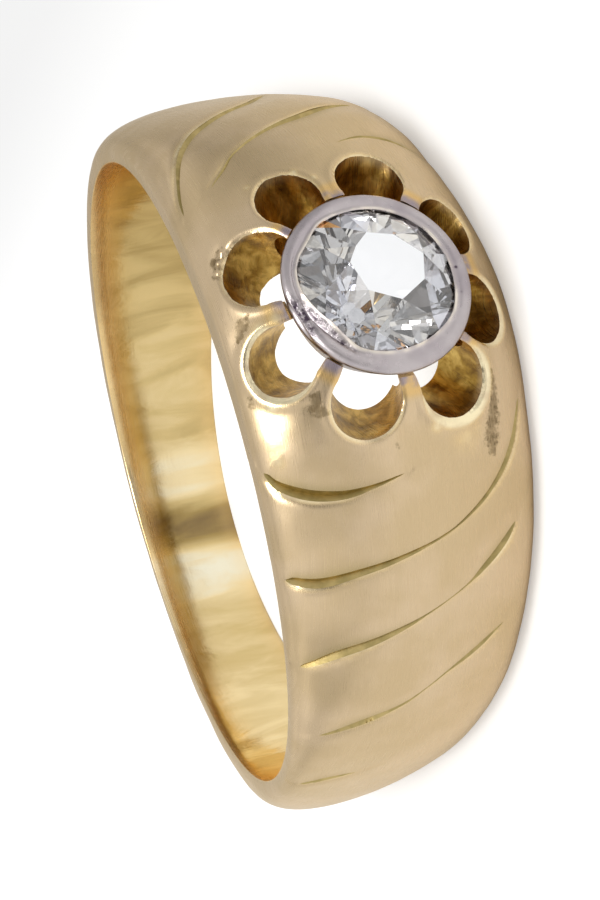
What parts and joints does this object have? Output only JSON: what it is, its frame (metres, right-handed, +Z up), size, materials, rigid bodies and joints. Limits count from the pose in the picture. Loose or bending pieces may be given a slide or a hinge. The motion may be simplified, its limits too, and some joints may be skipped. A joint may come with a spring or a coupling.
{
  "type": "diamond band ring",
  "caption": "Tapering gold band ring with one old-cut diamond in a white metal collet, ringed by drilled lobes, lying on its side rim.",
  "frame": {"origin": "centre of the finger hole, on its axis, midway between the two side rims", "axes": "the ring lies on its lower side rim: +Z is up from the surface, +X points towards the stone as seen from above, +Y runs across the finger hole; the finger hole's axis leans 6.8 degrees from +Z because the band tapers"},
  "size_m": [0.0238, 0.0219, 0.0081],
  "materials": {
    "gold": "worn satin yellow gold with fine scratches",
    "white_metal": "worn greyish white metal, soft polish",
    "diamond": "clear polished facets"
  },
  "bodies": {
    "root": {"band": "gold", "collet": "white_metal", "stone": "diamond"}
  },
  "joints": []
}
